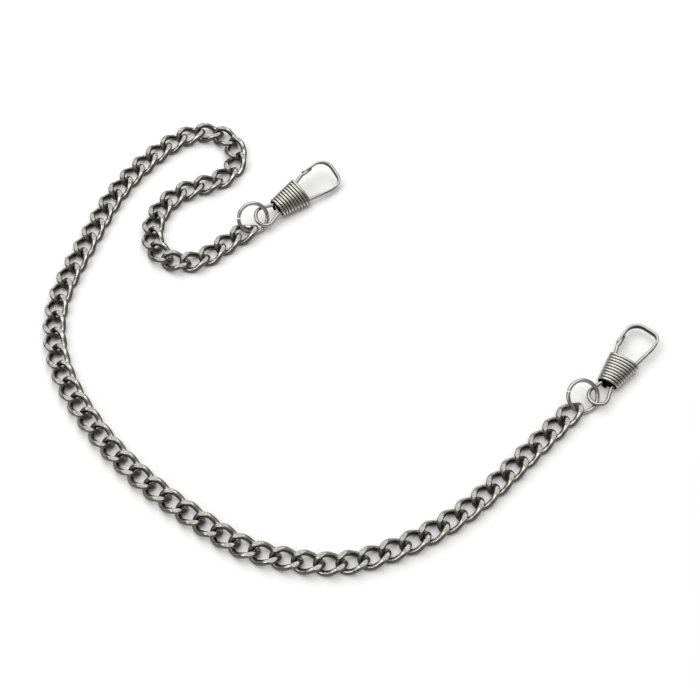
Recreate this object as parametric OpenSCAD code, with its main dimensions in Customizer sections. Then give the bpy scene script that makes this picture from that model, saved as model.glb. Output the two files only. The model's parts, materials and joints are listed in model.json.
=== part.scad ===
// Pocket watch chain: curb links ground flat on both wide faces, with a split jump ring
// and a wire clasp with a sprung gate at each end.
// Millimetres, +Z up. The chain lies in a loose curve on the plane z = 0.

/* [Chain] */
// Distance between the centres of two neighbouring links
link_pitch = 4.6; // [4.2:0.1:5.6]
// Diameter of the round wire a link is bent from
link_wire = 1.25; // [1.0:0.05:1.5]
// Distance from the middle of a link to the centre line of either flank
link_half_width = 2.0; // [1.9:0.05:2.3]
// Free play between two links when the chain is pulled straight
link_play = 0.2; // [0.05:0.05:0.4]
// Twist of the wire where it rounds each tip, degrees from the flat plane
tip_twist = 50; // [44:1:54]
// Slope of the wire at the middle of each flank, degrees from the flat plane
flank_rise = 35; // [30:1:38]
// Half the length of the short straight in the middle of a flank
flank_half = 0.2; // [0.1:0.1:0.5]
// Depth ground off the crowns on each wide face
crown_ground = 0.22; // [0.1:0.02:0.3]

/* [Jump rings] */
// Outer diameter of the jump rings
ring_outer = 7.8; // [7.4:0.1:9.6]
// Wire diameter of the jump rings
ring_wire = 0.9; // [0.7:0.05:1.1]
// Width of the split in each jump ring
ring_split = 0.3; // [0.05:0.05:0.6]

/* [Clasp winding] */
// Length of the wound body of a clasp
winding_length = 8.4; // [7:0.1:10.2]
// Outer width of the winding at the eye end
winding_narrow = 4.8; // [4.4:0.1:5.8]
// Outer width of the winding at the hook end
winding_wide = 7.6; // [6.6:0.1:9.2]
// Outer thickness of the winding
winding_thick = 3.2; // [2.8:0.1:3.9]
// Number of turns in the winding
winding_turns = 10; // [7:1:11]
// Diameter of the wire of the winding
winding_wire = 0.68; // [0.5:0.02:0.72]

/* [Clasp form wire] */
// Diameter of the wire the eye and the hook are formed from
form_wire = 0.86; // [0.7:0.02:1.04]
// Radius of the eye, to the centre line of the wire
eye_radius = 2.2; // [2:0.1:2.7]
// Distance from the winding to the centre of the eye
eye_reach = 3.3; // [3:0.1:4]
// Distance from the middle of the clasp to the centre line of either side of the hook
hook_half_width = 3.6; // [3.3:0.1:4.2]
// Distance from the wide end of the winding to the start of the bow of the hook
hook_reach = 7.4; // [7:0.1:9.2]
// Radius of the bow of the hook
bow_radius = 2.0; // [1.8:0.1:2.4]
// Radius of the shoulder between the bow and the nose
shoulder_radius = 3.0; // [2.6:0.1:3.4]
// Length of the straight nose the gate closes against
nose_length = 3.4; // [3:0.1:4.8]
// Height of the flattened part of the hook
band_height = 1.3; // [1.1:0.05:1.5]
// Thickness of the flattened part of the hook
band_thick = 0.5; // [0.4:0.05:0.7]

/* [Clasp gate] */
// Length of the flattened leaf of the gate
leaf_length = 4.4; // [4:0.1:5]
// Height of the leaf
leaf_height = 2.0; // [1.6:0.1:2.6]
// Thickness of the leaf
leaf_thick = 0.4; // [0.3:0.05:0.5]
// Clearance between the gate and the pieces it meets
gate_gap = 0.05; // [0.03:0.01:0.1]

/* [Hidden] */
$fn = 32;

// Clearance where a ring hangs in a link or an eye
hang_gap = 0.08;
// Clearance between the winding and the wire it grips
grip_gap = 0.03;
// A joined piece of wire is this much thinner all round and reaches this far into its neighbour
seam = 0.01;
reach = 0.1;

// How the chain lies: the first link, then runs of [number of joints, turn at each joint]
chain_start = [47.86, -21.88];
chain_heading = -133.8;
chain_runs = [
    [5, 0], [1, -3], [6, -4], [3, -9], [2, -4], [2, -9], [3, -1], [8, -3], [3, -6],
    [3, -8], [1, -5], [1, -2], [3, 0], [5, -5], [1, -8], [1, -15], [1, -28], [4, -33],
    [1, -23], [1, 5], [4, 19], [3, 33], [1, 22], [1, 0], [1, -9]
];
joint_turns = [for (run = chain_runs) for (k = [1:run[0]]) run[1]];
link_count = len(joint_turns) + 1;

// How the fittings lie at the first and the last link, in the frame of the end link:
// [ring roll, ring pitch, clasp roll, clasp turn]
lie_first = [31, -11, 0, 8.5];
lie_last = [47, -8, 24, 9];
// Where each ring touches: [angle round the ring at the link, way from the link tip,
// angle round the ring at the eye, angle round the eye, way from the eye]
touch_first = [206, [-0.85, -0.77, -0.23], 281, 180, [0.31, -0.44, -0.96]];
touch_last = [256, [-0.15, -0.73, -0.66], 15, 73, [0.03, -0.33, 0.94]];

link_tip = (link_pitch + link_wire + link_play) / 2;
ring_radius = (ring_outer - ring_wire) / 2;
link_seat = (link_wire + ring_wire) / 2 + hang_gap;
eye_seat = (form_wire + ring_wire) / 2 + hang_gap;

// The two legs inside the winding follow its taper
leg_slope = atan((winding_wide - winding_narrow) / (2 * winding_length));
leg_in = winding_wire / 2 + ((winding_wire + form_wire) / 2 + grip_gap) / cos(leg_slope);
leg_narrow = winding_narrow / 2 - leg_in;

// ---- curb link: three-dimensional wire arcs with shared tangents ----

function unit(v) = v / norm(v);

// Point where two arcs meet smoothly between two wire ends; k shares the length between them
function meet(p0, t0, p1, t1, k) =
    let (
        v = p1 - p0,
        w = t1 + k * t0,
        qa = w * w - (1 + k) * (1 + k),
        qb = -2 * (v * w),
        root = sqrt(qb * qb - 4 * qa * (v * v)),
        d1 = (-qb - root) / (2 * qa),
        d2 = (-qb + root) / (2 * qa),
        d = d1 > 0 && (d2 < 0 || d1 < d2) ? d1 : d2
    )
    (p0 + k * d * t0 + k * (p1 - d * t1)) / (1 + k);

// An arc from p0 to p1 that leaves p0 along t0: half its turn, its radius, the way to its
// centre, and its direction at p1
function half_turn(p0, t0, p1) = acos((p1 - p0) * t0 / norm(p1 - p0));
function arc_radius(p0, t0, p1) = norm(p1 - p0) / (2 * sin(half_turn(p0, t0, p1)));
function inward(p0, t0, p1) = unit((p1 - p0) - ((p1 - p0) * t0) * t0);
function end_way(p0, t0, p1) = let (c = unit(p1 - p0)) 2 * (c * t0) * c - t0;

tip_point = [link_tip, 0, 0];
tip_way = [0, cos(tip_twist), -sin(tip_twist)];
flank_way = [-cos(flank_rise), 0, sin(flank_rise)];
shoulder_point = [0, link_half_width, 0] - flank_half * flank_way;
crown_point = meet(tip_point, tip_way, shoulder_point, flank_way, 1.4);
crown_way = end_way(tip_point, tip_way, crown_point);
tip_inward = inward(tip_point, tip_way, crown_point);
tip_radius = arc_radius(tip_point, tip_way, crown_point);

// Depth of the crown, the lowest point of the centre line on the arc that leaves the tip
tip_rise = [tip_inward[2], tip_way[2]];
crown_z = tip_radius * (norm(tip_rise) - tip_rise[0]);
link_top = crown_z + link_wire / 2 - crown_ground;

module bent_wire(radius, turn, d) {
    rotate_extrude(angle = turn)
        translate([radius, 0])
            circle(d = d);
}

// Arc of wire between two others, a seam thinner, that reaches into both
module joining_arc(p0, t0, p1, d) {
    radius = arc_radius(p0, t0, p1);
    turn = 2 * half_turn(p0, t0, p1);
    more = reach / radius * 180 / PI;
    n = inward(p0, t0, p1);
    z = cross(t0, n);
    c = p0 + radius * n;
    multmatrix([
        [-n[0], t0[0], z[0], c[0]],
        [-n[1], t0[1], z[1], c[1]],
        [-n[2], t0[2], z[2], c[2]],
        [0, 0, 0, 1]
    ])
        rotate([0, 0, -more])
            bent_wire(radius, turn + 2 * more, d - 2 * seam);
}

module quarter_link() {
    side = [0, sin(tip_twist), cos(tip_twist)];
    turn = 2 * half_turn(tip_point, tip_way, crown_point);
    translate([link_tip, 0, 0])
        rotate([-tip_twist, 0, 0])
            rotate([0, atan2(tip_inward * side, -tip_inward[0]), 0])
                translate([-tip_radius, 0, 0])
                    bent_wire(tip_radius, turn, link_wire);
    joining_arc(crown_point, crown_way, shoulder_point, link_wire);
}

module half_link() {
    quarter_link();
    rotate([0, 180, 0])
        quarter_link();
    translate([0, link_half_width, 0])
        rotate([0, 90 + flank_rise, 0])
            cylinder(h = 2 * flank_half, d = link_wire, center = true);
}

// The twisted link, its crowns ground off level on both wide faces
module curb_link() {
    intersection() {
        union() {
            half_link();
            rotate([180, 0, 0])
                half_link();
        }
        cube([3 * link_pitch, 4 * link_half_width, 2 * link_top], center = true);
    }
}

// ---- how the links follow one another ----

function heading(i) = i == 0 ? chain_heading : heading(i - 1) + joint_turns[i - 1];
function way(angle) = [cos(angle), sin(angle)];
function centre(i) =
    i == 0 ? chain_start : centre(i - 1) + link_pitch / 2 * (way(heading(i - 1)) + way(heading(i)));

module place_link(i) {
    translate([centre(i)[0], centre(i)[1], link_top])
        rotate([0, 0, heading(i)])
            children();
}

module links(numbers) {
    color("silver")
        for (n = numbers)
            place_link(n - 1)
                curb_link();
}

// ---- fittings, in the frame of the end link that carries them ----

function turned_x(v, angle) =
    [v[0], v[1] * cos(angle) - v[2] * sin(angle), v[1] * sin(angle) + v[2] * cos(angle)];
function turned_y(v, angle) =
    [v[0] * cos(angle) + v[2] * sin(angle), v[1], v[2] * cos(angle) - v[0] * sin(angle)];
function turned_z(v, angle) =
    [v[0] * cos(angle) - v[1] * sin(angle), v[0] * sin(angle) + v[1] * cos(angle), v[2]];

function on_ring(lie, angle) =
    turned_y(turned_x([ring_radius * cos(angle), ring_radius * sin(angle), 0], lie[0]), lie[1]);
function ring_centre(lie, touch) =
    [link_tip, 0, 0] + link_seat * touch[1] - on_ring(lie, touch[0]);
function eye_touch(touch) =
    [eye_radius * cos(touch[3]) - eye_reach, eye_radius * sin(touch[3]), 0] + eye_seat * touch[4];
function clasp_origin(lie, touch) =
    ring_centre(lie, touch) + on_ring(lie, touch[2]) - turned_z(turned_x(eye_touch(touch), lie[2]), lie[3]);

// The frame of the end link, x away from the chain
module at_end(first) {
    place_link(first ? 0 : link_count - 1)
        rotate([0, 0, first ? 180 : 0])
            children();
}

// ---- split jump ring ----

module split_ring(split_at) {
    gap = ring_split / ring_radius * 180 / PI;
    color("silver")
        rotate([0, 0, split_at + gap / 2])
            rotate_extrude(angle = 360 - gap)
                translate([ring_radius, 0])
                    circle(d = ring_wire);
}

module place_ring(lie, touch) {
    translate(ring_centre(lie, touch))
        rotate([lie[0], lie[1], 0])
            children();
}

// ---- clasp, x from the eye end of the winding towards the hook, z across its thickness ----

module place_clasp(lie, touch) {
    translate(clasp_origin(lie, touch))
        rotate([lie[2], 0, lie[3]])
            children();
}

// The two shapes of the form wire: round, and flattened to a band
module wire_profile(flat, less) {
    if (flat)
        intersection() {
            circle(d = band_height - 2 * less);
            square([band_thick - 2 * less, band_height], center = true);
        }
    else
        circle(d = form_wire - 2 * less);
}

// One bend of the form wire from the origin, which leaves along x; a positive turn goes to the left
module wire_bend(radius, turn, flat) {
    side = turn > 0 ? 1 : -1;
    more = reach / radius * 180 / PI;
    translate([0, side * radius, 0])
        rotate([0, 0, (turn > 0 ? -90 : 90 + turn) - more])
            rotate_extrude(angle = abs(turn) + 2 * more)
                translate([radius, 0])
                    wire_profile(flat, seam);
}

module wire_run(length, flat) {
    rotate([90, 0, 90])
        linear_extrude(length)
            wire_profile(flat, 0);
}

// The wire widens into a band
module wire_taper(length) {
    intersection() {
        rotate([0, 90, 0])
            cylinder(h = length, d1 = form_wire, d2 = band_height);
        linear_extrude(2 * band_height, center = true)
            polygon([
                [0, -form_wire * 0.55], [length, -band_thick / 2],
                [length, band_thick / 2], [0, form_wire * 0.55]
            ]);
    }
}

// Form wire laid piece by piece: [straight length, bend radius, turn, flat]; turn 0 tapers it
module formed_wire(pieces, k = 0) {
    if (k < len(pieces)) {
        p = pieces[k];
        side = p[2] > 0 ? 1 : -1;
        wire_run(p[0], p[3]);
        translate([p[0], 0, 0]) {
            if (p[2] == 0) {
                wire_taper(p[1]);
                translate([p[1], 0, 0])
                    formed_wire(pieces, k + 1);
            } else {
                wire_bend(p[1], p[2], p[3]);
                translate([0, side * p[1], 0])
                    rotate([0, 0, p[2]])
                        translate([0, -side * p[1], 0])
                            formed_wire(pieces, k + 1);
            }
        }
    }
}

// The eye: its wires leave the winding at a splay that runs smoothly into the bow
neck_span = norm([eye_reach, leg_narrow]);
splay = asin(eye_radius / neck_span) - atan2(leg_narrow, eye_reach);
elbow_radius = 0.8;
elbow_turn = leg_slope + splay;
elbow_length = elbow_radius * tan(elbow_turn / 2);
neck_run = sqrt(neck_span * neck_span - eye_radius * eye_radius) - elbow_length;

// The gate turns about a rounded seat inside the wide mouth of the winding
gate_seat = [winding_length - 0.3, leg_narrow + (winding_length - 0.3) * tan(leg_slope) - 0.12];
left_leg_end = gate_seat[0] - form_wire / 2 - gate_gap;
left_leg = left_leg_end / cos(leg_slope);

// The hook: the right leg runs straight out to its full width, then the bow leans over.
// The flattening ends before that width is reached, and the bow starts after it.
bow_lean = 86;
taper_length = 1.6;
side_x = (hook_half_width - leg_narrow) / tan(leg_slope);
side_elbow = 2;
side_elbow_length = side_elbow * tan(leg_slope / 2);
side_least = 0.3;
taper_start = min(winding_length + 2.6, side_x - taper_length - side_elbow_length - side_least);
bow_start = max(winding_length + hook_reach, side_x + side_elbow_length + side_least);
bow_rise = bow_radius * (1 - cos(bow_lean)) + shoulder_radius * (1 + cos(bow_lean));
bow_side = (2 * hook_half_width - bow_rise) / sin(bow_lean);
hook_pieces = [
    [left_leg - elbow_length, elbow_radius, -elbow_turn, false],
    [neck_run, eye_radius, 180 + 2 * splay, false],
    [neck_run, elbow_radius, -elbow_turn, false],
    [taper_start / cos(leg_slope) - elbow_length, taper_length, 0, false],
    [(side_x - taper_start) / cos(leg_slope) - taper_length - side_elbow_length,
        side_elbow, leg_slope, true],
    [bow_start - side_x - side_elbow_length, bow_radius, bow_lean, true],
    [bow_side, shoulder_radius, 180 - bow_lean, true],
    [nose_length, 0.6, -50, true]
];

module clasp_hook() {
    color("silver")
        translate([left_leg_end, leg_narrow + left_leg_end * tan(leg_slope), 0])
            rotate([0, 0, 180 + leg_slope])
                formed_wire(hook_pieces);
}

// The winding: flat turns of wire, each climbing by one step along the clasp
winding_step = (winding_length - winding_wire) / winding_turns;
winding_bend = (winding_thick - winding_wire) / 2;
function bend_y(x) = (winding_narrow - winding_wire) / 2 - winding_bend + x * tan(leg_slope);

module winding_run(from, to) {
    span = to - from;
    translate(from)
        rotate([0, 0, atan2(span[1], span[0])])
            rotate([0, 90, 0])
                translate([0, 0, -0.05])
                    cylinder(h = norm(span) + 0.1, d = winding_wire - 0.05);
}

module winding_turn(x) {
    half = winding_step / 2;
    left = bend_y(x);
    right = -bend_y(x + half);
    next = bend_y(x + winding_step);
    translate([x, left, 0])
        rotate([90, 0, 90])
            rotate([0, 0, -90])
                bent_wire(winding_bend, 180, winding_wire);
    winding_run([x, left, winding_bend], [x + half, right, winding_bend]);
    translate([x + half, right, 0])
        rotate([90, 0, 90])
            rotate([0, 0, 90])
                bent_wire(winding_bend, 180, winding_wire);
    winding_run([x + half, right, -winding_bend], [x + winding_step, next, -winding_bend]);
}

module clasp_winding() {
    color("gray")
        for (k = [0:winding_turns - 1])
            winding_turn(winding_wire / 2 + k * winding_step);
}

// The gate: a wire from the seat, flattened to a leaf that bears on the inside of the nose
leaf_y = hook_half_width - band_thick / 2 - leaf_thick / 2 - gate_gap;
leaf_end = bow_start - 2.1;
leaf_x = leaf_end - leaf_length / 2;
leaf_arc = (leaf_length * leaf_length / 4 + leaf_height * leaf_height / 4) / leaf_height;
gate_foot = leaf_end - leaf_length + 0.8;
gate_rise = [gate_foot - gate_seat[0], leaf_y - gate_seat[1]];

module leaf_disc(z) {
    translate([leaf_x, leaf_y, z])
        rotate([90, 0, 0])
            cylinder(h = leaf_thick, r = leaf_arc, center = true, $fn = 96);
}

module clasp_gate() {
    color("silver")
        union() {
            translate(gate_seat)
                sphere(d = form_wire);
            translate(gate_seat)
                rotate([0, 0, atan2(gate_rise[1], gate_rise[0])])
                    rotate([0, 90, 0])
                        union() {
                            cylinder(h = norm(gate_rise) - 0.8, d = form_wire);
                            translate([0, 0, norm(gate_rise) - 0.8])
                                cylinder(h = 1.4, d1 = form_wire, d2 = leaf_thick * 0.6);
                        }
            intersection() {
                leaf_disc(leaf_arc - leaf_height / 2);
                leaf_disc(leaf_height / 2 - leaf_arc);
            }
        }
}

module fitting_ring(first) {
    at_end(first)
        place_ring(first ? lie_first : lie_last, first ? touch_first : touch_last)
            split_ring(first ? 118 : 150);
}

module fitting_clasp(first) {
    at_end(first)
        place_clasp(first ? lie_first : lie_last, first ? touch_first : touch_last)
            children();
}

// ---- the separate pieces ----

function two_digits(n) = str(n < 10 ? "0" : "", n);
function group_name(g) =
    len(g) == 1 ? str("link_", two_digits(g[0])) : str("links_", two_digits(g[0]), "_", two_digits(g[1]));

// The first run of the chain is nearly straight: its links go in twos
link_groups = concat(
    [[1]],
    [for (n = [2:2:28]) [n, n + 1]],
    [for (n = [30:link_count]) [n]]
);

for (g = link_groups)
    links(g);
fitting_ring(true);  // jump_ring_a
fitting_ring(false);  // jump_ring_b
fitting_clasp(true) clasp_hook();  // clasp_a_hook
fitting_clasp(true) clasp_gate();  // clasp_a_gate
fitting_clasp(true) clasp_winding();  // clasp_a_winding
fitting_clasp(false) clasp_hook();  // clasp_b_hook
fitting_clasp(false) clasp_gate();  // clasp_b_gate
fitting_clasp(false) clasp_winding();  // clasp_b_winding
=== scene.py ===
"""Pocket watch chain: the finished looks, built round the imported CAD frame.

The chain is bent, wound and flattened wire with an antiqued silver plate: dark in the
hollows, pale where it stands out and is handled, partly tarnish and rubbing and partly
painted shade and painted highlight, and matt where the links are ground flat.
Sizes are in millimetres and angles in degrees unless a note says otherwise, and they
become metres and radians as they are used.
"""

from __future__ import annotations

import json
import logging
import math
from dataclasses import dataclass, field
from enum import Enum
from functools import partial

import bpy
from mathutils import Euler, Matrix, Vector

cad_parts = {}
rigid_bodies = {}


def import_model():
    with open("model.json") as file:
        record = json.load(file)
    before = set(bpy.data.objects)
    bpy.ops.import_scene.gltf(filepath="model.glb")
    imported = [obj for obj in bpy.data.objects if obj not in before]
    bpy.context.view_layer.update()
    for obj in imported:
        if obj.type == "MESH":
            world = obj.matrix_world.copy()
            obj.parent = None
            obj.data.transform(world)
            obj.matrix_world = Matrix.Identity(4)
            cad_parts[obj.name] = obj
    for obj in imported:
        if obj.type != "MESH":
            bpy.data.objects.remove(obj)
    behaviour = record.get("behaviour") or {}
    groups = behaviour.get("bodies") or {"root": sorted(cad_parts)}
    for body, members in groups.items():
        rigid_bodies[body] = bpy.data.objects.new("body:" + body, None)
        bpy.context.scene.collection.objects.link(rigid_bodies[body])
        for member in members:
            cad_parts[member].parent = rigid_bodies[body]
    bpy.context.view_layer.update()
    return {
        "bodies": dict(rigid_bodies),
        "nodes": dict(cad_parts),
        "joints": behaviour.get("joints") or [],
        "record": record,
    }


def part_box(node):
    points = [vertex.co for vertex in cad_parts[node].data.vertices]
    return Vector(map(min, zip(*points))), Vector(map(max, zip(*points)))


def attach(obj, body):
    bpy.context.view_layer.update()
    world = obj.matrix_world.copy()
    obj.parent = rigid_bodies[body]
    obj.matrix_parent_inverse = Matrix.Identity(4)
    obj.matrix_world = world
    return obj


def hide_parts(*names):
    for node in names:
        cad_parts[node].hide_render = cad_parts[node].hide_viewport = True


LOG = logging.getLogger("watch_chain")
MM = 0.001
UP = Vector((0, 0, 1))
MATH = "ShaderNodeMath"
VECTOR_MATH = "ShaderNodeVectorMath"
Pair = tuple[float, float]
Triple = tuple[float, float, float]


class Fitting(Enum):
    """The two ends of the chain."""

    FIRST = "a"
    LAST = "b"


class Side(Enum):
    """Which faces of a wire are painted bright, partly from rubbing and partly as a painted
    highlight.
    """

    OUTER = "outer"
    BOTH = "both"


def compass(heading: float) -> Vector:
    """Give the flat unit vector of a heading in degrees."""
    return Vector((math.cos(math.radians(heading)), math.sin(math.radians(heading)), 0))


def turned(x: float = 0, y: float = 0, z: float = 0) -> Matrix:
    """Give a turn about x, then y, then z, in degrees."""
    return Euler((math.radians(x), math.radians(y), math.radians(z)), "XYZ").to_matrix().to_4x4()


# ---------------------------------------------------------------- node helpers


def add(
    tree: bpy.types.NodeTree, kind: str, inputs: dict | None = None, **settings: object
) -> bpy.types.Node:
    """Add a node with its settings, values and links.

    Args:
        tree: The node tree that gets the node.
        kind: The node's type name.
        inputs: Input name or number to a value, to the output socket that feeds it, or
            to the node whose first output feeds it.
        **settings: Properties set on the node before its inputs.

    Returns:
        The new node.
    """
    node = tree.nodes.new(kind)
    for name, value in settings.items():
        setattr(node, name, value)
    for key, value in (inputs or {}).items():
        source = value.outputs[0] if isinstance(value, bpy.types.Node) else value
        if isinstance(source, bpy.types.NodeSocket):
            tree.links.new(source, node.inputs[key])
        else:
            node.inputs[key].default_value = source
    return node


def emptied(block: bpy.types.Material | bpy.types.World) -> bpy.types.NodeTree:
    """Start the node tree of a material or a world.

    Args:
        block: The new material or world.

    Returns:
        Its tree, with nothing in it.
    """
    block.use_nodes = True
    block.node_tree.nodes.clear()
    return block.node_tree


def linear(hex_colour: str) -> tuple[float, float, float, float]:
    """Turn an sRGB hex colour into linear red, green, blue and alpha.

    Args:
        hex_colour: Six hex digits after a number sign.

    Returns:
        The linear colour, fully opaque.
    """
    parts = [int(hex_colour[k : k + 2], 16) / 255 for k in (1, 3, 5)]
    r, g, b = (p / 12.92 if p <= 0.04045 else ((p + 0.055) / 1.055) ** 2.4 for p in parts)
    return (r, g, b, 1.0)


# ---------------------------------------------------------------- finishes


@dataclass(frozen=True)
class AntiquedPlate:
    """Silver plate over base metal, blackened with sulphide and rubbed back.

    The rubbing leaves pale, slightly warm metal on what stands proud and tarnish in the
    hollows, in patches; the pale and the dark are partly painted highlight and painted shade.
    Grinding leaves matt faces with fine parallel scratches.
    """

    name: str
    rubbed: str
    plate: str
    hollow_and_shade: str
    rubbed_roughness: float
    wear: float
    hollow_roughness: float = 0.36
    plate_at: float = 0.55
    ground: str = "#adaca3"
    ground_low: str = "#5c5b54"
    ground_roughness: float = 0.42
    tarnish_mm: float = 0.9
    tarnish_ends: Pair = (0.1, 0.85)
    scratch_long_mm: float = 0.8
    scratch_slimness: float = 6.0
    scratch_heading: float = 35
    scratch_ends: Pair = (0.36, 0.58)
    scratch_depth_mm: float = 0.03
    scratch_relief: float = 0.25

    def material(self) -> bpy.types.Material:
        """Build the plate's material.

        Returns:
            The material, which reads a piece's ground attribute and its mask of rubbing and painted
            highlight.
        """
        material = bpy.data.materials.new(self.name)
        tree = emptied(material)
        node = partial(add, tree)
        place = node("ShaderNodeTexCoord").outputs["Object"]
        rubbed = node("ShaderNodeAttribute", attribute_name="rubbed").outputs["Fac"]
        ground = node("ShaderNodeAttribute", attribute_name="ground").outputs["Fac"]
        wear_and_highlight = self._wear_and_highlight(tree, place, rubbed)
        scratch = self._scratches(tree, place)
        # Painted highlight and shade: the plate runs from dark to pale with the mask, partly
        # tarnish and rubbing.
        round_face = node("ShaderNodeValToRGB", {"Fac": wear_and_highlight})
        ramp = round_face.color_ramp.elements
        ramp[0].color = linear(self.hollow_and_shade)
        ramp[1].color = linear(self.rubbed)
        ramp.new(self.plate_at).color = linear(self.plate)
        ground_face = node(
            "ShaderNodeMix",
            {"Factor": scratch, 6: linear(self.ground_low), 7: linear(self.ground)},
            data_type="RGBA",
        ).outputs[2]
        colour = node(
            "ShaderNodeMix", {"Factor": ground, 6: round_face, 7: ground_face}, data_type="RGBA"
        ).outputs[2]
        round_roughness = node(
            "ShaderNodeMapRange",
            {"Value": wear_and_highlight, "To Min": self.hollow_roughness, "To Max": self.rubbed_roughness},
        )
        roughness = node(
            "ShaderNodeMix",
            {"Factor": ground, 2: round_roughness, 3: self.ground_roughness},
            data_type="FLOAT",
        )
        depth = self.scratch_depth_mm * MM
        relief = node(
            "ShaderNodeBump",
            {"Strength": self.scratch_relief, "Distance": depth, "Height": scratch},
        )
        metal = node(
            "ShaderNodeBsdfPrincipled",
            {"Base Color": colour, "Metallic": 1.0, "Roughness": roughness, "Normal": relief},
        )
        node("ShaderNodeOutputMaterial", {"Surface": metal})
        return material

    def _wear_and_highlight(
        self, tree: bpy.types.NodeTree, place: bpy.types.NodeSocket, rubbed: bpy.types.NodeSocket
    ) -> bpy.types.Node:
        """Break up the rubbing and the painted highlight with patches of tarnish.

        Args:
            tree: The material's tree.
            place: Object coordinates.
            rubbed: How much rubbing and painted highlight a face gets, 0 to 1.

        Returns:
            The node that gives 0 on the darkest plate, tarnish and painted shade, to 1 on the
            palest, bright metal and painted highlight.
        """
        node = partial(add, tree)
        scale = 1 / (self.tarnish_mm * MM)
        patches = node(
            "ShaderNodeTexNoise", {"Vector": place, "Scale": scale, "Detail": 4.0, "Roughness": 0.6}
        )
        shift = node(MATH, {0: patches, 1: 0.5}, operation="SUBTRACT")
        level = node(MATH, {0: shift, 1: self.wear, 2: rubbed}, operation="MULTIPLY_ADD")
        low, high = self.tarnish_ends
        return node(
            "ShaderNodeMapRange",
            {"Value": level, "From Min": low, "From Max": high},
            interpolation_type="SMOOTHSTEP",
        )

    def _scratches(
        self, tree: bpy.types.NodeTree, place: bpy.types.NodeSocket
    ) -> bpy.types.Node:
        """Draw the fine lines that grinding and handling leave.

        They are far finer on the real metal, and drawn this coarse so that they show.

        Args:
            tree: The material's tree.
            place: Object coordinates.

        Returns:
            The node that gives 0 to 1, in streaks.
        """
        node = partial(add, tree)
        heading = (0.0, 0.0, math.radians(self.scratch_heading))
        drawn_out = node(
            "ShaderNodeMapping",
            {"Vector": place, "Rotation": heading, "Scale": (1.0, self.scratch_slimness, 1.0)},
        )
        scale = 1 / (self.scratch_long_mm * MM)
        streaks = node(
            "ShaderNodeTexNoise",
            {"Vector": drawn_out, "Scale": scale, "Detail": 5.0, "Roughness": 0.7},
        )
        low, high = self.scratch_ends
        return node("ShaderNodeMapRange", {"Value": streaks, "From Min": low, "From Max": high})


# Plated curb links, blackened, rubbed, and ground on both faces after linking: bright
# ridges over grey flanks, the bright partly from rubbing and partly a painted highlight, and
# matt streaked ovals where the stone has cut the crowns.
LINK_PLATE = AntiquedPlate(
    "antiqued_silver_plate_ground_curb",
    rubbed="#c6c5bb", plate="#605f59", hollow_and_shade="#62615c", rubbed_roughness=0.14, wear=0.9,
)
# Plated ring of drawn wire: a thin bright line along the faces square to the ring,
# partly from rubbing and partly a painted highlight, round a wire painted dark on its
# sides, partly tarnish and partly painted shade.
RING_PLATE = AntiquedPlate(
    "antiqued_silver_plate_drawn_ring",
    rubbed="#b0aea8", plate="#605f5c", hollow_and_shade="#2b2a28", rubbed_roughness=0.14, wear=0.9,
)
# Plated wire, bent and pressed to a band: an even dull grey with a soft glint along the
# edges of the band and the leaf, partly from rubbing and partly a painted highlight.
HOOK_PLATE = AntiquedPlate(
    "antiqued_silver_plate_formed_wire",
    rubbed="#a3a29d", plate="#6e6d69", hollow_and_shade="#3a3936", rubbed_roughness=0.15, wear=0.7,
)
# Plated wire wound close and blackened afterwards: pale ribs on the outward faces, partly
# from rubbing and partly a painted highlight, and near black on the sides between the
# turns, partly tarnish and partly painted shade.
COIL_PLATE = AntiquedPlate(
    "antiqued_silver_plate_wound_wire",
    rubbed="#b3b2a9", plate="#66655e", hollow_and_shade="#0f0e0c", rubbed_roughness=0.17, wear=0.8,
    hollow_roughness=0.5, tarnish_mm=1.4,
)


# ---------------------------------------------------------------- geometry node trees

PRESSED_CREASE = 38
GROUND_CREASE = 22
# A ground face lies this near the stone's level, and is at least this level.
CUT_SLACK = 0.01
LEVEL_COSINE = 0.995
# A neighbour covers a link from this share of the way to its tip, at most this much, and
# the covered part is painted darker, partly tarnish and partly painted shade.
COVER_START = 0.72
COVER_MOST = 0.9
# How far a face turns outwards where the rubbing and painted highlight start and where they are
# full.
WIRE_RUBBED_AND_HIGHLIT = (-0.1, 0.75)
LINK_RUBBED_AND_HIGHLIT = (0.25, 1.1)


def tree_with(name: str, inputs: dict[str, str]) -> tuple[bpy.types.NodeTree, bpy.types.Node]:
    """Start a Geometry Nodes tree with a geometry input and more named inputs.

    Args:
        name: The tree's name.
        inputs: Input name to the last word of its socket type.

    Returns:
        The tree and its group input node.
    """
    tree = bpy.data.node_groups.new(name, "GeometryNodeTree")
    tree.interface.new_socket("Geometry", in_out="INPUT", socket_type="NodeSocketGeometry")
    for key, kind in inputs.items():
        tree.interface.new_socket(key, in_out="INPUT", socket_type=f"NodeSocket{kind}")
    tree.interface.new_socket("Geometry", in_out="OUTPUT", socket_type="NodeSocketGeometry")
    return tree, add(tree, "NodeGroupInput")


def creased(tree: bpy.types.NodeTree, mesh: bpy.types.Node, crease: float) -> bpy.types.Node:
    """Shade a mesh smooth, with every edge sharper than a limit kept sharp.

    Args:
        tree: The Geometry Nodes tree.
        mesh: The node that gives the mesh.
        crease: Smallest angle of a sharp edge.

    Returns:
        The node that gives the shaded mesh.
    """
    node = partial(add, tree)
    smooth = node("GeometryNodeSetShadeSmooth", {"Geometry": mesh, "Shade Smooth": True})
    angle = node("GeometryNodeInputMeshEdgeAngle")
    sharp = node(
        "FunctionNodeCompare", {0: angle, 1: math.radians(crease)}, operation="GREATER_THAN"
    )
    return node(
        "GeometryNodeSetShadeSmooth",
        {"Geometry": smooth, "Selection": sharp, "Shade Smooth": False},
        domain="EDGE",
    )


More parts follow.
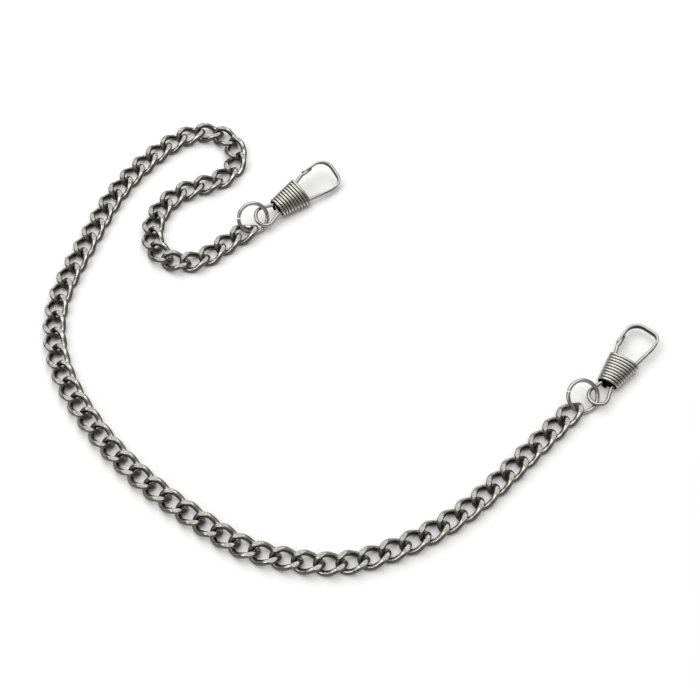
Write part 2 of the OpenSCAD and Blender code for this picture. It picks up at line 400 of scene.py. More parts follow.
def finish_tree(
    tree: bpy.types.NodeTree, mesh: bpy.types.Node, material: bpy.types.NodeSocket
) -> bpy.types.NodeTree:
    """End a tree: real geometry with its material.

    Args:
        tree: The Geometry Nodes tree.
        mesh: The last node that gives the mesh.
        material: The material socket.

    Returns:
        The tree.
    """
    real = add(tree, "GeometryNodeRealizeInstances", {"Geometry": mesh})
    dressed = add(tree, "GeometryNodeSetMaterial", {"Geometry": real, "Material": material})
    add(tree, "NodeGroupOutput", {"Geometry": dressed})
    return tree


def pressed_wire_tree() -> bpy.types.NodeTree:
    """Build the tree that draws a wire along a path and presses it between two flats.

    The path's points carry wire_radius and press, in millimetres, and flat_way, the
    direction square to the bend.

    Returns:
        The tree.
    """
    tree, group = tree_with(
        "pressed_wire", {"Sides": "Int", "Both Sides": "Float", "Material": "Material"}
    )
    node = partial(add, tree)
    given = group.outputs
    wire_radius, press, flat_way = (
        node("GeometryNodeInputNamedAttribute", {"Name": name}, data_type=kind).outputs["Attribute"]
        for name, kind in (
            ("wire_radius", "FLOAT"), ("press", "FLOAT"), ("flat_way", "FLOAT_VECTOR"),
        )
    )
    curve = node("GeometryNodeMeshToCurve", {"Mesh": given["Geometry"]})
    capture = node("GeometryNodeCaptureAttribute", {"Geometry": curve}, domain="POINT")
    for name, source in (
        ("Centre", node("GeometryNodeInputPosition")),
        ("Along", node("GeometryNodeInputTangent")),
    ):
        capture.capture_items.new("VECTOR", name)
        tree.links.new(source.outputs[0], capture.inputs[name])
    centre, along = capture.outputs["Centre"], capture.outputs["Along"]
    circle = node("GeometryNodeCurvePrimitiveCircle", {"Resolution": given["Sides"], "Radius": MM})
    tube = node(
        "GeometryNodeCurveToMesh",
        {"Curve": capture.outputs["Geometry"], "Profile Curve": circle, "Fill Caps": True},
    )
    position = node("GeometryNodeInputPosition")
    unit_offset = node(VECTOR_MATH, {0: position, 1: centre}, operation="SUBTRACT")
    offset = node(VECTOR_MATH, {0: unit_offset, "Scale": wire_radius}, operation="SCALE")
    square = node(VECTOR_MATH, {0: flat_way, 1: along}, operation="CROSS_PRODUCT")
    across = node(VECTOR_MATH, {0: square}, operation="NORMALIZE")
    reach = node(VECTOR_MATH, {0: offset, 1: across}, operation="DOT_PRODUCT").outputs["Value"]
    limit = node(MATH, {0: press, 1: MM}, operation="MULTIPLY")
    low = node(MATH, {0: limit, 1: -1.0}, operation="MULTIPLY")
    held = node("ShaderNodeClamp", {"Value": reach, "Min": low, "Max": limit})
    change = node(MATH, {0: held, 1: reach}, operation="SUBTRACT")
    squeeze = node(VECTOR_MATH, {0: across, "Scale": change}, operation="SCALE")
    pressed = node(VECTOR_MATH, {0: offset, 1: squeeze}, operation="ADD")
    place = node(VECTOR_MATH, {0: centre, 1: pressed}, operation="ADD")
    wire = node("GeometryNodeSetPosition", {"Geometry": tube, "Position": place})
    # Painted highlight and shade: faces along flat_way are painted pale and the sides dark, partly
    # from rubbing and tarnish.
    normal = node("GeometryNodeInputNormal")
    facing = node(VECTOR_MATH, {0: normal, 1: flat_way}, operation="DOT_PRODUCT").outputs["Value"]
    either = node(MATH, {0: facing}, operation="ABSOLUTE")
    proud = node(
        "ShaderNodeMix", {"Factor": given["Both Sides"], 2: facing, 3: either}, data_type="FLOAT"
    )
    rubbed = node(
        "ShaderNodeMapRange",
        {"Value": proud, "From Min": WIRE_RUBBED_AND_HIGHLIT[0], "From Max": WIRE_RUBBED_AND_HIGHLIT[1]},
        interpolation_type="SMOOTHSTEP",
    )
    wire = node(
        "GeometryNodeStoreNamedAttribute",
        {"Geometry": wire, "Name": "rubbed", "Value": rubbed},
        data_type="FLOAT", domain="POINT",
    )
    return finish_tree(tree, creased(tree, wire, PRESSED_CREASE), given["Material"])


def curb_link_tree() -> bpy.types.NodeTree:
    """Build the tree that bends, grinds and places the links.

    Its geometry is one point a link, which carries heading in radians. A face is ground
    if it is level and lies where the stone cuts. A face that faces up or down is painted
    pale, partly from rubbing and partly as a painted highlight, and a tip is painted darker
    where the next link covers it, partly tarnish and partly painted shade.

    Returns:
        The tree.
    """
    tree, group = tree_with(
        "curb_links",
        {"Bent Wire": "Object", "Wire": "Float", "Half Height": "Float", "Tip": "Float",
         "Sides": "Int", "Material": "Material"},
    )
    node = partial(add, tree)
    given = group.outputs
    bent = node(
        "GeometryNodeObjectInfo", {"Object": given["Bent Wire"]}, transform_space="ORIGINAL"
    ).outputs["Geometry"]
    curve = node("GeometryNodeMeshToCurve", {"Mesh": bent})
    half_wire = node(MATH, {0: given["Wire"], 1: 0.5}, operation="MULTIPLY")
    circle = node(
        "GeometryNodeCurvePrimitiveCircle", {"Resolution": given["Sides"], "Radius": half_wire}
    )
    tube = node("GeometryNodeCurveToMesh", {"Curve": curve, "Profile Curve": circle})
    height = node(MATH, {0: given["Half Height"], 1: 2.0}, operation="MULTIPLY")
    room = node(MATH, {0: given["Tip"], 1: 3.0}, operation="MULTIPLY")
    size = node("ShaderNodeCombineXYZ", {"X": room, "Y": room, "Z": height})
    slab = node("GeometryNodeMeshCube", {"Size": size})
    link = node(
        "GeometryNodeMeshBoolean", {"Mesh 2": tube}, operation="INTERSECT", solver="EXACT"
    )
    tree.links.new(slab.outputs[0], link.inputs["Mesh 2"])
    normal = node("GeometryNodeInputNormal")
    position = node("GeometryNodeInputPosition")
    lean = node("ShaderNodeSeparateXYZ", {0: normal}).outputs["Z"]
    x, _, z = node("ShaderNodeSeparateXYZ", {0: position}).outputs
    level, along, depth = (node(MATH, {0: v}, operation="ABSOLUTE") for v in (lean, x, z))
    spare = node(MATH, {0: given["Half Height"], 1: depth}, operation="SUBTRACT")
    cut = node("FunctionNodeCompare", {0: spare, 1: CUT_SLACK * MM}, operation="LESS_THAN")
    flat = node("FunctionNodeCompare", {0: level, 1: LEVEL_COSINE}, operation="GREATER_THAN")
    ground = node("FunctionNodeBooleanMath", {0: cut, 1: flat}, operation="AND")
    # Painted shade: a tip is painted darker where the next link covers it, partly tarnish.
    cover_start = node(MATH, {0: given["Tip"], 1: COVER_START}, operation="MULTIPLY")
    covered = node(
        "ShaderNodeMapRange",
        {"Value": along, "From Min": cover_start, "From Max": given["Tip"], "To Max": COVER_MOST},
        interpolation_type="SMOOTHSTEP",
    )
    # Painted highlight: faces that face up or down are painted pale, partly from rubbing.
    open_face = node(MATH, {0: level, 1: covered}, operation="SUBTRACT")
    rubbed = node(
        "ShaderNodeMapRange",
        {"Value": open_face, "From Min": LINK_RUBBED_AND_HIGHLIT[0], "From Max": LINK_RUBBED_AND_HIGHLIT[1]},
        interpolation_type="SMOOTHSTEP",
    )
    for name, value, domain in (("ground", ground, "FACE"), ("rubbed", rubbed, "POINT")):
        link = node(
            "GeometryNodeStoreNamedAttribute",
            {"Geometry": link, "Name": name, "Value": value},
            data_type="FLOAT", domain=domain,
        )
    turn = node("ShaderNodeCombineXYZ", {"Z": node(
        "GeometryNodeInputNamedAttribute", {"Name": "heading"}, data_type="FLOAT"
    ).outputs["Attribute"]})
    chain = node(
        "GeometryNodeInstanceOnPoints",
        {"Points": given["Geometry"], "Instance": creased(tree, link, GROUND_CREASE),
         "Rotation": turn},
    )
    return finish_tree(tree, chain, given["Material"])


def grown(
    host: bpy.types.Object, tree: bpy.types.NodeTree, values: dict[str, object], name: str
) -> bpy.types.Object:
    """Run a tree on an object and keep the result as a plain mesh object.

    Args:
        host: The object that holds the tree's points; it is removed.
        tree: The Geometry Nodes tree.
        values: Input name to value.
        name: Name of the new object.

    Returns:
        The new object, at the origin.
    """
    modifier = host.modifiers.new("grow", "NODES")
    modifier.node_group = tree
    sockets = {s.name: s.identifier for s in tree.interface.items_tree if s.in_out == "INPUT"}
    for key, value in values.items():
        modifier[sockets[key]] = value
    graph = bpy.context.evaluated_depsgraph_get()
    mesh = bpy.data.meshes.new_from_object(
        host.evaluated_get(graph), preserve_all_data_layers=True, depsgraph=graph
    )
    mesh.name = name
    bpy.data.objects.remove(host)
    return shown(name, mesh)


def shown(name: str, data: bpy.types.ID) -> bpy.types.Object:
    """Put a mesh, lamp or camera in the scene.

    Args:
        name: The new object's name.
        data: What it shows.

    Returns:
        The new object.
    """
    thing = bpy.data.objects.new(name, data)
    bpy.context.collection.objects.link(thing)
    return thing


# ---------------------------------------------------------------- paths

SAME_PLACE = 1e-4


@dataclass(frozen=True)
class Section:
    """The wire's section: a round of this radius, pressed to this half thickness."""

    radius: float
    press: float


@dataclass
class Path:
    """The centre line of a wire: points with what the wire is at each."""

    points: list[Vector] = field(default_factory=list)
    sections: list[Section] = field(default_factory=list)
    flat_ways: list[Vector] = field(default_factory=list)

    def put(self, point: Vector, section: Section, flat_way: Vector = UP) -> None:
        """Add a point, unless the path already ends there.

        Args:
            point: Where the wire passes.
            section: Its section there.
            flat_way: The direction that stays whole when the wire is pressed.
        """
        if self.points and (self.points[-1] - point).length < SAME_PLACE:
            return
        self.points.append(point)
        self.sections.append(section)
        self.flat_ways.append(flat_way)

    def host(self, frame: Matrix, closed: bool = False) -> bpy.types.Object:
        """Lay the path in a frame as a string of edges for a tree to read.

        Args:
            frame: Where the path's own axes lie, in millimetres.
            closed: True if the last point joins the first.

        Returns:
            The object that holds the path.
        """
        count = len(self.points)
        edges = [(k, k + 1) for k in range(count - 1)] + ([(count - 1, 0)] if closed else [])
        mesh = bpy.data.meshes.new("wire_path")
        mesh.from_pydata([(frame @ p) * MM for p in self.points], edges, [])
        ways = [frame.to_3x3() @ w for w in self.flat_ways]
        for name, kind, key, numbers in (
            ("wire_radius", "FLOAT", "value", [s.radius for s in self.sections]),
            ("press", "FLOAT", "value", [s.press for s in self.sections]),
            ("flat_way", "FLOAT_VECTOR", "vector", [c for w in ways for c in w]),
        ):
            mesh.attributes.new(name, kind, "POINT").data.foreach_set(key, numbers)
        return shown("wire_path", mesh)


class BendingJig:
    """Walks along a flat wire and lays its centre line."""

    def __init__(self, start: Pair, heading: float, section: Section) -> None:
        """Start at a point.

        Args:
            start: Where the wire begins.
            heading: Which way it goes.
            section: Its section there.
        """
        self.place = Vector((*start, 0))
        self.heading = heading
        self.section = section
        self.path = Path()
        self.path.put(self.place.copy(), section)

    def run(self, length: float, to: Section | None = None, steps: int = 1) -> None:
        """Go straight on.

        Args:
            length: How far.
            to: The section at the end, reached evenly; None keeps the present one.
            steps: How many parts the run is laid in.
        """
        begin, start = self.section, self.place.copy()
        for k in range(1, steps + 1):
            share = k / steps
            if to:
                self.section = Section(
                    begin.radius + (to.radius - begin.radius) * share,
                    begin.press + (to.press - begin.press) * share,
                )
            self.place = start + compass(self.heading) * length * share
            self.path.put(self.place.copy(), self.section)

    def bend(self, radius: float, turn: float, step: float = 7.0) -> None:
        """Go round a bend.

        Args:
            radius: Of the centre line.
            turn: How far round, to the left if positive.
            step: Largest turn between two points.
        """
        centre = self.place + compass(self.heading + math.copysign(90, turn)) * radius
        spoke = self.place - centre
        count = max(2, math.ceil(abs(turn) / step))
        for k in range(1, count + 1):
            self.place = centre + Matrix.Rotation(math.radians(turn * k / count), 3, "Z") @ spoke
            self.path.put(self.place.copy(), self.section)
        self.heading += turn


# ---------------------------------------------------------------- the frame


def off_box(piece: bpy.types.Object, node: str) -> float:
    """Measure how far a piece's box is from its CAD node's box.

    Args:
        piece: The finished piece.
        node: The CAD node.

    Returns:
        The largest difference of a side, in metres.
    """
    sides = zip(*(vertex.co for vertex in piece.data.vertices))
    spans = [(min(side), max(side)) for side in sides]
    low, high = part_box(node)
    return max(max(abs(s[0] - a), abs(s[1] - b)) for s, a, b in zip(spans, low, high))


def dress(piece: bpy.types.Object, node: str, body: str) -> None:
    """Put a piece in place of its CAD node and on its body.

    Args:
        piece: The finished piece.
        node: The CAD node it stands for.
        body: The body it rides on.
    """
    off = off_box(piece, node)
    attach(piece, body)
    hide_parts(node)
    faces = len(piece.data.polygons)
    LOG.info(
        "%s stands for %s on %s, %d faces, %.2f mm off its box",
        piece.name, node, body, faces, off / MM,
    )


# ---------------------------------------------------------------- curb links


@dataclass
class CurbChain:
    """The run of curb links and the way it lies.

    Each of runs is a number of links and the turn that each makes from the one before.
    """

    pitch: float = 4.6
    wire: float = 1.25
    play: float = 0.2
    half_width: float = 2.0
    tip_twist: float = 50
    flank_rise: float = 35
    flank_half: float = 0.2
    crown_ground: float = 0.22
    arc_share: float = 1.4
    tip_steps: int = 14
    side_steps: int = 9
    sides: int = 30
    start: Pair = (47.86, -21.88)
    start_heading: float = -133.8
    runs: tuple[tuple[int, int], ...] = (
        (5, 0), (1, -3), (6, -4), (3, -9), (2, -4), (2, -9), (3, -1), (8, -3), (3, -6),
        (3, -8), (1, -5), (1, -2), (3, 0), (5, -5), (1, -8), (1, -15), (1, -28), (4, -33),
        (1, -23), (1, 5), (4, 19), (3, 33), (1, 22), (1, 0), (1, -9),
    )

    def __post_init__(self) -> None:
        """Lay the links one after another and bend one link's wire."""
        self.tip = (self.pitch + self.wire + self.play) / 2
        self.headings = [self.start_heading]
        self.centres = [Vector((*self.start, 0))]
        for turn in (turn for count, turn in self.runs for _ in range(count)):
            before = self.headings[-1]
            self.headings.append(before + turn)
            step = compass(before) + compass(before + turn)
            self.centres.append(self.centres[-1] + step * self.pitch / 2)
        self.centre_line, crown = self._bend_wire()
        self.half_height = crown + self.wire / 2 - self.crown_ground

    @staticmethod
    def _arc(start: Vector, way: Vector, end: Vector, count: int) -> list[Vector]:
        """Lay an arc that leaves its start along a direction.

        Args:
            start: First point.
            way: Unit direction at the start.
            end: Last point.
            count: How many parts it is laid in.

        Returns:
            The points after the start, the end included.
        """
        chord = end - start
        turn = 2 * chord.angle(way)
        inward = (chord - way * chord.dot(way)).normalized()
        radius = chord.length / (2 * math.sin(turn / 2))
        centre = start + inward * radius
        angles = [turn * k / count for k in range(1, count + 1)]
        return [centre + (way * math.sin(t) - inward * math.cos(t)) * radius for t in angles]

    def _meeting(self, p0: Vector, t0: Vector, p1: Vector, t1: Vector) -> Vector:
        """Find where two arcs between two wire ends meet smoothly.

        Args:
            p0: First end.
            t0: Direction at the first end.
            p1: Second end.
            t1: Direction at the second end.

        Returns:
            The meeting point.
        """
        k = self.arc_share
        v, w = p1 - p0, t1 + t0 * k
        a, b, c = w.dot(w) - (1 + k) ** 2, -2 * v.dot(w), v.dot(v)
        root = math.sqrt(b * b - 4 * a * c)
        d = min(x for x in ((-b - root) / (2 * a), (-b + root) / (2 * a)) if x > 0)
        return ((p0 + t0 * k * d) + (p1 - t1 * d) * k) / (1 + k)

    def _bend_wire(self) -> tuple[list[Vector], float]:
        """Bend one link's centre line from its four like quarters.

        Returns:
            The closed centre line's points, and how far it dips below its middle.
        """
        twist, rise = math.radians(self.tip_twist), math.radians(self.flank_rise)
        tip = Vector((self.tip, 0, 0))
        tip_way = Vector((0, math.cos(twist), -math.sin(twist)))
        flank = Vector((0, self.half_width, 0))
        flank_way = Vector((-math.cos(rise), 0, math.sin(rise)))
        shoulder = flank - flank_way * self.flank_half
        crown = self._meeting(tip, tip_way, shoulder, flank_way)
        chord = (crown - tip).normalized()
        crown_way = chord * (2 * chord.dot(tip_way)) - tip_way
        quarter = [tip] + self._arc(tip, tip_way, crown, self.tip_steps)
        dip = -min(p.z for p in quarter)
        quarter += self._arc(crown, crown_way, shoulder, self.side_steps)
        quarter += [flank - flank_way * self.flank_half * share for share in (0.66, 0.33, 0)]
        back = [Vector((-p.x, p.y, -p.z)) for p in reversed(quarter[:-1])]
        half = quarter + back
        other = [Vector((p.x, -p.y, -p.z)) for p in reversed(half[1:-1])]
        return half + other, dip

    def build(self, nodes: list[str]) -> None:
        """Make the links of every CAD node of links.

        Args:
            nodes: The nodes' names, which are their bodies' names too.
        """
        path = Path()
        for point in self.centre_line:
            path.put(point, Section(self.wire / 2, self.wire))
        bent = path.host(Matrix.Identity(4), closed=True)
        tree = curb_link_tree()
        values = {
            "Bent Wire": bent, "Wire": self.wire * MM, "Half Height": self.half_height * MM,
            "Tip": self.tip * MM, "Sides": self.sides, "Material": LINK_PLATE.material(),
        }
        for node in nodes:
            numbers = [int(word) for word in node.split("_")[1:]]
            piece = grown(self._places(numbers), tree, values, "curb_" + node)
            dress(piece, node, node)
        bpy.data.objects.remove(bent)

    def _places(self, numbers: list[int]) -> bpy.types.Object:
        """Mark where some links lie.

        Args:
            numbers: The links, counted from 1.

        Returns:
            An object with one point a link.
        """
        mesh = bpy.data.meshes.new("link_places")
        spots = [self.centres[n - 1] + UP * self.half_height for n in numbers]
        mesh.from_pydata([p * MM for p in spots], [], [])
        headings = [math.radians(self.headings[n - 1]) for n in numbers]
        mesh.attributes.new("heading", "FLOAT", "POINT").data.foreach_set("value", headings)
        return shown("link_places", mesh)

    def end_frame(self, end: Fitting) -> Matrix:
        """Give the frame of an end link.

        Args:
            end: Which end.

        Returns:
            The frame in millimetres, x away from the chain.
        """
        index, about = (0, 180) if end is Fitting.FIRST else (-1, 0)
        place = self.centres[index] + UP * self.half_height
        turn = Matrix.Rotation(math.radians(self.headings[index] + about), 4, "Z")
        return Matrix.Translation(place) @ turn


# ---------------------------------------------------------------- fittings


@dataclass(frozen=True)
class Lie:
    """How a ring and a clasp hang from an end link, in the end link's frame.

    The angles say where on the ring, and on the clasp's eye, two wires meet, and the
    ways point from one wire's centre to the other's there.
    """

    ring_roll: float
    ring_pitch: float
    clasp_roll: float
    clasp_turn: float
    link_angle: float
    link_way: Triple
    eye_ring_angle: float
    eye_angle: float
    eye_way: Triple
    split_at: float


LIES = {
    Fitting.FIRST: Lie(
        ring_roll=31, ring_pitch=-11, clasp_roll=0, clasp_turn=8.5,
        link_angle=206, link_way=(-0.85, -0.77, -0.23),
        eye_ring_angle=281, eye_angle=180, eye_way=(0.31, -0.44, -0.96), split_at=118,
    ),
    Fitting.LAST: Lie(
        ring_roll=47, ring_pitch=-8, clasp_roll=24, clasp_turn=9,
        link_angle=256, link_way=(-0.15, -0.73, -0.66),
        eye_ring_angle=15, eye_angle=73, eye_way=(0.03, -0.33, 0.94), split_at=150,
    ),
}


@dataclass(frozen=True)
class WirePiece:
    """One piece of a fitting: its wire, where it goes and what it stands for."""

    name: str
    path: Path
    frame: Matrix
    node: str
    body: str
    finish: str
    sides: int = 40
    bright: Side = Side.BOTH


@dataclass
class Fittings:
    """The jump ring and the clasp at one end of the chain."""

    chain: CurbChain
    end: Fitting
    hang_gap: float = 0.08
    ring_outer: float = 7.8
    ring_wire: float = 0.9
    ring_split: float = 0.3
    ring_steps: int = 96
    winding_length: float = 8.4
    winding_narrow: float = 4.8
    winding_wide: float = 7.6
    winding_thick: float = 3.2
    winding_turns: int = 10
    winding_wire: float = 0.68
    coil_end: float = 0.8
    coil_steps: int = 36
    form_wire: float = 0.86
    grip_gap: float = 0.03
    eye_radius: float = 2.2
    eye_reach: float = 3.3
    elbow_radius: float = 0.8
    side_elbow: float = 2.0
    hook_half_width: float = 3.6
    hook_reach: float = 7.4
    bow_radius: float = 2.0
    bow_lean: float = 86
    shoulder_radius: float = 3.0
    nose_length: float = 3.4
    nose_radius: float = 0.6
    nose_curl: float = -50
    band_height: float = 1.3
    band_thick: float = 0.5
    taper_reach: float = 2.6
    taper_length: float = 1.6
    leaf_length: float = 4.4
    leaf_height: float = 2.0
    leaf_thick: float = 0.4
    leaf_back: float = 2.1
    leaf_root: float = 0.8
    leaf_tip: float = 0.02
    leaf_steps: int = 26
    root_steps: int = 5
    gate_gap: float = 0.05
    seat_depth: float = 0.3
    seat_inset: float = 0.12
    seat_steps: int = 7

    def __post_init__(self) -> None:
        """Work out the frames of the ring and the clasp and the winding's taper."""
        self.lie = lie = LIES[self.end]
        self.ring_radius = (self.ring_outer - self.ring_wire) / 2
        tilt = turned(x=lie.ring_roll, y=lie.ring_pitch)
        link_seat = (self.chain.wire + self.ring_wire) / 2 + self.hang_gap
        eye_seat = (self.form_wire + self.ring_wire) / 2 + self.hang_gap
        centre = Vector((self.chain.tip, 0, 0)) + Vector(lie.link_way) * link_seat
        centre -= tilt @ (compass(lie.link_angle) * self.ring_radius)
        clasp_turn = turned(x=lie.clasp_roll, z=lie.clasp_turn)
        eye = compass(lie.eye_angle) * self.eye_radius - Vector((self.eye_reach, 0, 0))
        eye += Vector(lie.eye_way) * eye_seat
        on_ring = tilt @ (compass(lie.eye_ring_angle) * self.ring_radius)
        clasp = centre + on_ring - clasp_turn @ eye
        base = self.chain.end_frame(self.end)
        self.ring_frame = base @ Matrix.Translation(centre) @ tilt
        self.clasp_frame = base @ Matrix.Translation(clasp) @ clasp_turn
        flare = (self.winding_wide - self.winding_narrow) / 2
        self.slope = math.atan(flare / self.winding_length)
        side = ((self.winding_wire + self.form_wire) / 2 + self.grip_gap) / math.cos(self.slope)
        self.leg_narrow = self.winding_narrow / 2 - self.winding_wire / 2 - side
        seat_x = self.winding_length - self.seat_depth
        seat_y = self.leg_narrow + seat_x * math.tan(self.slope) - self.seat_inset
        self.gate_seat = (seat_x, seat_y)
        inset = self.band_thick / 2 + self.leaf_thick / 2 + self.gate_gap
        self.leaf_y = self.hook_half_width - inset
        self.bow_start = self.winding_length + self.hook_reach

    def ring_path(self) -> Path:
        """Lay the split ring's wire.

        Returns:
            Its path, from one side of the split round to the other.
        """
        path, section = Path(), Section(self.ring_wire / 2, self.ring_wire)
        gap = math.degrees(self.ring_split / self.ring_radius)
        for k in range(self.ring_steps + 1):
            angle = self.lie.split_at + gap / 2 + (360 - gap) * k / self.ring_steps
            path.put(compass(angle) * self.ring_radius, section)
        return path

    def hook_path(self) -> Path:
        """Lay the form wire: a leg, the eye, the other leg, the hook and its nose.

        Returns:
            Its path.
        """
        wire = Section(self.form_wire / 2, self.form_wire / 2)
        band = Section(self.band_height / 2, self.band_thick / 2)
        slope, tan, cos = math.degrees(self.slope), math.tan(self.slope), math.cos(self.slope)
        span = math.hypot(self.eye_reach, self.leg_narrow)
        splay = math.asin(self.eye_radius / span) - math.atan2(self.leg_narrow, self.eye_reach)
        splay = math.degrees(splay)
        elbow = slope + splay
        elbow_length = self.elbow_radius * math.tan(math.radians(elbow / 2))
        neck = math.sqrt(span**2 - self.eye_radius**2) - elbow_length
        end_x = self.gate_seat[0] - self.form_wire / 2 - self.gate_gap
        side_x = (self.hook_half_width - self.leg_narrow) / tan
        side_length = self.side_elbow * math.tan(self.slope / 2)
        taper_start = self.winding_length + self.taper_reach
        lean = math.radians(self.bow_lean)
        rise = self.bow_radius * (1 - math.cos(lean)) + self.shoulder_radius * (1 + math.cos(lean))
        jig = BendingJig((end_x, self.leg_narrow + end_x * tan), 180 + slope, wire)
        jig.run(end_x / cos - elbow_length, steps=4)
        jig.bend(self.elbow_radius, -elbow)
        jig.run(neck, steps=2)
        jig.bend(self.eye_radius, 180 + 2 * splay)
        jig.run(neck, steps=2)
        jig.bend(self.elbow_radius, -elbow)
        jig.run(taper_start / cos - elbow_length, steps=5)
        jig.run(self.taper_length, band, steps=8)
        jig.run((side_x - taper_start) / cos - self.taper_length - side_length, steps=2)
        jig.bend(self.side_elbow, slope, step=4)
        jig.run(self.bow_start - side_x - side_length)
        jig.bend(self.bow_radius, self.bow_lean, step=5)
        jig.run((2 * self.hook_half_width - rise) / math.sin(lean), steps=3)
        jig.bend(self.shoulder_radius, 180 - self.bow_lean, step=5)
        jig.run(self.nose_length, steps=4)
        jig.bend(self.nose_radius, self.nose_curl)
        return jig.path

    def gate_path(self) -> Path:
        """Lay the gate: a rounded seat, a short wire and a leaf pressed flat.

        Returns:
            Its path, from the seat to the leaf's tip.
        """
        half_wire = self.form_wire / 2
        seat = Vector((*self.gate_seat, 0))
        leaf_end = self.bow_start - self.leaf_back
        foot = Vector((leaf_end - self.leaf_length + self.leaf_root, self.leaf_y, 0))
        way = (foot - seat).normalized()
        path = Path()
        for k in range(1, self.seat_steps + 1):
            angle = math.radians(90 * k / self.seat_steps)
            section = Section(half_wire * math.sin(angle), half_wire)
            path.put(seat - way * half_wire * math.cos(angle), section)
        reach = (foot - seat).length - self.leaf_root
        for share in (0.5, 1):
            path.put(seat + way * reach * share, Section(half_wire, half_wire))
        arc = (self.leaf_length**2 + self.leaf_height**2) / (4 * self.leaf_height)
        middle = leaf_end - self.leaf_length / 2
        for k in range(self.leaf_steps + 1):
            x = foot.x + (leaf_end - foot.x) * k / self.leaf_steps
            across = math.sqrt(arc**2 - (x - middle) ** 2) - arc + self.leaf_height / 2
            settle = min(1.0, k / self.root_steps)
            press = half_wire + (self.leaf_thick / 2 - half_wire) * settle
            radius = max(across, half_wire * (1 - settle), self.leaf_tip)
            path.put(Vector((x, self.leaf_y, 0)), Section(radius, min(press, radius)))
        return path

    def coil_path(self) -> Path:
        """Lay the winding: oval turns that climb steadily along the clasp.

        Returns:
            Its path, from the narrow end.
        """
        path, radius = Path(), self.winding_wire / 2
        step = (self.winding_length - self.winding_wire) / self.winding_turns
        rise = (self.winding_thick - self.winding_wire) / 2
        crown = rise - self.coil_end
        half_narrow = (self.winding_narrow - self.winding_wire) / 2
        for k in range(self.winding_turns * self.coil_steps + 1):
            share = k / self.coil_steps
            x = radius + step * share
            span = half_narrow + x * math.tan(self.slope) - self.coil_end
            depth = (span**2 - crown**2) / (2 * crown)
            spot, outward = self._on_oval(share % 1.0, span, depth, rise + depth)
            point, flat_way = Vector((x, spot.x, spot.y)), Vector((0, outward.x, outward.y))
            path.put(point, Section(radius, self.winding_wire), flat_way)
        return path

    def _on_oval(
        self, share: float, span: float, depth: float, face: float
    ) -> tuple[Vector, Vector]:
        """Find a place on the oval centre line of one turn.

        Args:
            share: How far round, 0 to 1, from the middle of the lower face.
            span: Distance from the middle to the centre of a tight end.
            depth: Distance from the middle to the centre of a face's arc.
            face: Radius of a face.

        Returns:
            The place and the direction out of the coil there.
        """
        lean = math.atan2(depth, span)
        half_face = (math.pi / 2 - lean) * face
        quarter = half_face + lean * self.coil_end
        run = share * 4 * quarter
        side = 1.0
        if run > 2 * quarter:
            side, run = -1.0, run - 2 * quarter
        low = run <= quarter
        run = run if low else 2 * quarter - run
        if run <= half_face:
            turn = run / face
            outward = Vector((math.sin(turn), math.cos(turn)))
            spot = outward * face - Vector((0, depth))
        else:
            turn = lean - (run - half_face) / self.coil_end
            outward = Vector((math.cos(turn), math.sin(turn)))
            spot = outward * self.coil_end + Vector((span, 0))
        flip = Vector((side, -side if low else side))
        return spot * flip, outward * flip

    def plan(self) -> tuple[WirePiece, ...]:
        """List the ring, the form wire, the gate and the winding.

        Returns:
            The pieces to make.
        """
        end = self.end.value
        clasp, frame = f"clasp_{end}", self.clasp_frame
        return (
            WirePiece(
                f"split_ring_{end}", self.ring_path(), self.ring_frame,
                f"jump_ring_{end}", f"ring_{end}", "ring", sides=24,
            ),
            WirePiece(
                f"form_wire_{end}", self.hook_path(), frame, f"{clasp}_hook", clasp, "clasp"
            ),
            WirePiece(
                f"gate_{end}", self.gate_path(), frame, f"{clasp}_gate", f"gate_{end}", "clasp"
            ),
            WirePiece(
                f"winding_{end}", self.coil_path(), frame, f"{clasp}_winding", clasp,
                "winding", sides=20, bright=Side.OUTER,
            ),
        )

    def build(
        self, tree: bpy.types.NodeTree, finishes: dict[str, bpy.types.Material]
    ) -> None:
        """Make the pieces of this end.

        Args:
            tree: The pressed wire tree.
            finishes: Slot name to material.
        """
        for wire in self.plan():
            values = {
                "Sides": wire.sides, "Both Sides": float(wire.bright is Side.BOTH),
                "Material": finishes[wire.finish],
            }
            piece = grown(wire.path.host(wire.frame), tree, values, wire.name)
            dress(piece, wire.node, wire.body)


# ---------------------------------------------------------------- studio


@dataclass(frozen=True)
class Softbox:
    """A square soft lamp that faces the middle of the floor, in metres and watts."""

    name: str
    place: Triple
    size: float
    power: float

    def hang(self) -> None:
        """Put the lamp up."""
        data = bpy.data.lights.new(self.name, "AREA")
        data.shape, data.size, data.energy = "SQUARE", self.size, self.power
        lamp = shown(self.name, data)
        lamp.location = self.place
        lamp.rotation_euler = (-Vector(self.place)).to_track_quat("-Z", "Y").to_euler()


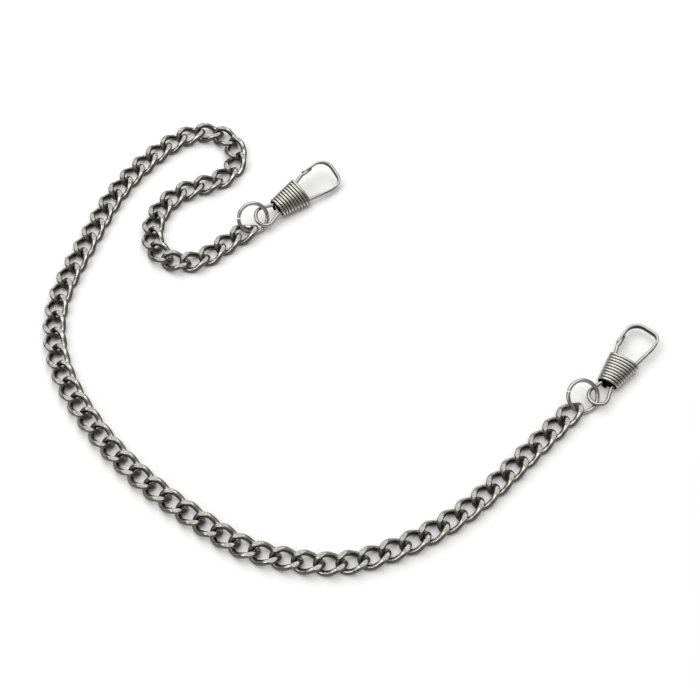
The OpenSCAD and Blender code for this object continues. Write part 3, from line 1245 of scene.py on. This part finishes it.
@dataclass
class Studio:
    """A pale floor with soft light and the camera. The floor's size is in metres."""

    camera_place: Triple = (0.23, -197.9, 301.1)
    camera_down: float = 57.3
    camera_near: float = 10
    lens: float = 82.3
    floor: str = "#f7f7f6"
    floor_half: float = 1.5
    surround: float = 0.32
    lamps: tuple[Softbox, ...] = (
        Softbox("overhead_softbox", (-0.1, 0.25, 0.8), 1.4, 10.8),
        Softbox("side_softbox", (-0.6, -0.35, 0.45), 0.3, 0.8),
    )

    def build(self) -> None:
        """Make the floor, the light and the camera."""
        self._floor()
        self._world()
        for lamp in self.lamps:
            lamp.hang()
        camera = shown("camera", bpy.data.cameras.new("camera"))
        camera.data.lens = self.lens
        camera.data.clip_start = self.camera_near * MM
        camera.location = Vector(self.camera_place) * MM
        camera.rotation_euler = (math.radians(90 - self.camera_down), 0, 0)
        bpy.context.scene.camera = camera
        bpy.context.scene.view_settings.view_transform = "Standard"

    def _floor(self) -> None:
        """Lay the floor of white paper, matt so that it takes a soft shadow."""
        s = self.floor_half
        mesh = bpy.data.meshes.new("floor")
        mesh.from_pydata([(-s, -s, 0), (s, -s, 0), (s, s, 0), (-s, s, 0)], [], [(0, 1, 2, 3)])
        floor = shown("floor", mesh)
        material = bpy.data.materials.new("matt_white_paper")
        tree = emptied(material)
        paper = add(tree, "ShaderNodeBsdfDiffuse", {"Color": linear(self.floor)})
        add(tree, "ShaderNodeOutputMaterial", {"Surface": paper})
        mesh.materials.append(material)

    def _world(self) -> None:
        """Surround the set with plain grey walls, dimmer than the paper and the lamps."""
        world = bpy.data.worlds.new("grey_walls")
        bpy.context.scene.world = world
        tree = emptied(world)
        walls = add(
            tree, "ShaderNodeBackground", {"Color": (1, 1, 1, 1), "Strength": self.surround}
        )
        add(tree, "ShaderNodeOutputWorld", {"Surface": walls})


def main() -> None:
    """Build the finished chain round the frame."""
    logging.basicConfig(level=logging.INFO, format="%(name)s: %(message)s")
    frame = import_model()
    chain = CurbChain()
    chain.build(sorted(node for node in frame["nodes"] if node.startswith("link")))
    finishes = {
        "ring": RING_PLATE.material(),
        "clasp": HOOK_PLATE.material(),
        "winding": COIL_PLATE.material(),
    }
    wire_tree = pressed_wire_tree()
    for end in Fitting:
        Fittings(chain, end).build(wire_tree, finishes)
    Studio().build()


if __name__ == "__main__":
    main()
